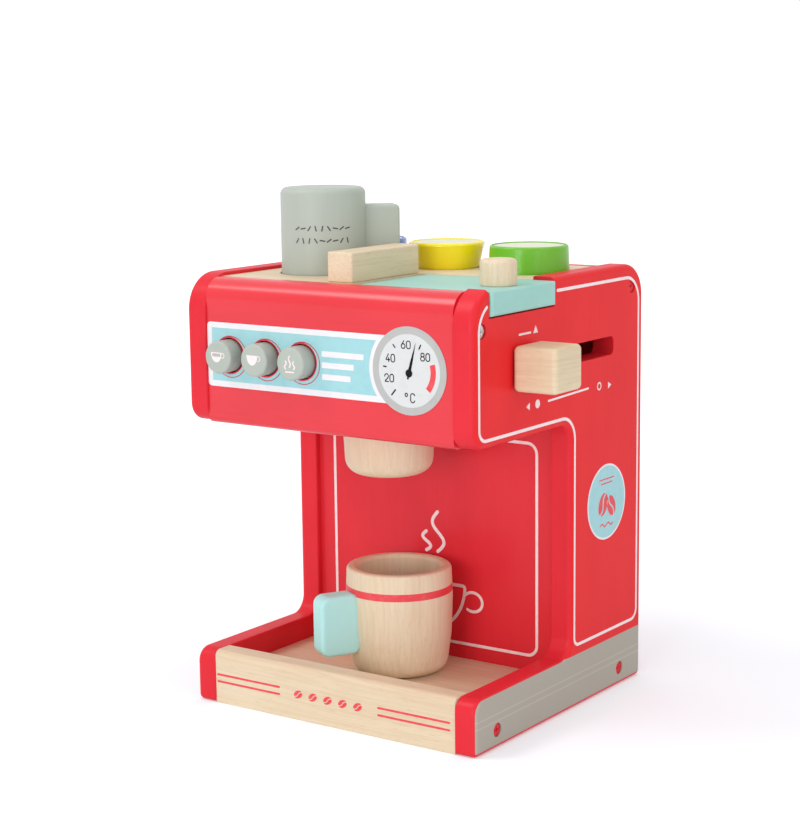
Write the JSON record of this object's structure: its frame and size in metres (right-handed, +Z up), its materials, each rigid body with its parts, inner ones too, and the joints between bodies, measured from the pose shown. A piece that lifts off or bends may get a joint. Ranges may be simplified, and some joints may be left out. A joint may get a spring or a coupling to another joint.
{
  "type": "toy coffee maker",
  "caption": "Wooden toy coffee maker with a hinged lid, a sliding pod lever, push buttons, a loose mug, a shaker and play pods",
  "frame": {"origin": "on the ground under the middle of the machine's width and depth, on the underside of the base board", "axes": "+Z up; the front with the buttons faces -Y; the side with the lever is +X"},
  "size_m": [0.2125, 0.1847, 0.285],
  "materials": {
    "red_paint": "satin red lacquer on wooden board",
    "natural_wood": "pale rubberwood under clear satin lacquer",
    "aqua_paint": "satin aqua lacquer on wood",
    "grey_paint": "satin warm grey lacquer on wood",
    "blue_paint": "gloss blue lacquer on wood",
    "yellow_paint": "gloss yellow lacquer on wood",
    "green_paint": "gloss green lacquer on wood",
    "white_paint": "satin white lacquer",
    "screw_steel": "zinc plated steel",
    "spring_steel": "bright spring wire"
  },
  "bodies": {
    "machine": {"left_side_panel": "red_paint", "right_side_panel": "red_paint", "front_fascia": "red_paint", "top_deck": "natural_wood", "rear_panel": "red_paint", "head_floor": "red_paint", "back_wall": "red_paint", "base_board": "natural_wood", "front_rail": "natural_wood", "panel_screws": "screw_steel", "hinge_pins": "screw_steel", "hinge_bar": "natural_wood", "bar_dowels": "natural_wood", "carriage_rail": "natural_wood", "carriage_ledge": "natural_wood", "button_guide": "natural_wood", "brew_head": "natural_wood"},
    "lid": {"lid_board": "aqua_paint", "lid_knob": "natural_wood"},
    "lever": {"lever_knob": "natural_wood", "lever_stem": "natural_wood", "pod_carriage": "natural_wood"},
    "mug": {"mug_cup": "natural_wood", "mug_handle": "aqua_paint"},
    "shaker": {"shaker_body": "grey_paint", "shaker_handle": "grey_paint"},
    "full_cup_push": {"full_cup_button": "grey_paint", "full_cup_collar": "grey_paint", "full_cup_spring": "spring_steel"},
    "half_cup_push": {"half_cup_button": "grey_paint", "half_cup_collar": "grey_paint", "half_cup_spring": "spring_steel"},
    "steam_push": {"steam_button": "grey_paint", "steam_collar": "grey_paint", "steam_spring": "spring_steel"},
    "blue_refill": {"blue_pod": "blue_paint", "blue_pod_lid": "white_paint"},
    "yellow_refill": {"yellow_pod": "yellow_paint", "yellow_pod_lid": "white_paint"},
    "green_refill": {"green_pod": "green_paint", "green_pod_lid": "white_paint"}
  },
  "joints": [
    {"name": "lid_hinge", "type": "hinge", "parent": "machine", "child": "lid", "pos_m": [0.01435, -0.0417, 0.23175], "axis": [0, -1, 0], "range_deg": [0, 92]},
    {"name": "lever_slide", "type": "slide", "parent": "machine", "child": "lever", "axis": [0, 1, 0], "range_m": [0, 0.083]},
    {"name": "full_cup_press", "type": "slide", "parent": "machine", "child": "full_cup_push", "axis": [0, 1, 0], "range_m": [0, 0.006], "stiffness_N_per_m": 300, "springref_m": -0.004, "deforming": ["full_cup_spring"]},
    {"name": "half_cup_press", "type": "slide", "parent": "machine", "child": "half_cup_push", "axis": [0, 1, 0], "range_m": [0, 0.006], "stiffness_N_per_m": 300, "springref_m": -0.004, "deforming": ["half_cup_spring"]},
    {"name": "steam_press", "type": "slide", "parent": "machine", "child": "steam_push", "axis": [0, 1, 0], "range_m": [0, 0.006], "stiffness_N_per_m": 300, "springref_m": -0.004, "deforming": ["steam_spring"]},
    {"name": "mug_lift", "type": "slide", "parent": "machine", "child": "mug", "axis": [0, -0.866, 0.5], "range_m": [0, 0.15]},
    {"name": "shaker_lift", "type": "slide", "parent": "machine", "child": "shaker", "axis": [0, 0, 1], "range_m": [0, 0.06]},
    {"name": "blue_pod_lift", "type": "slide", "parent": "machine", "child": "blue_refill", "axis": [0, 0, 1], "range_m": [0, 0.03]},
    {"name": "yellow_pod_lift", "type": "slide", "parent": "machine", "child": "yellow_refill", "axis": [0, 0, 1], "range_m": [0, 0.03]},
    {"name": "green_pod_lift", "type": "slide", "parent": "machine", "child": "green_refill", "axis": [0, 0, 1], "range_m": [0, 0.03]}
  ]
}
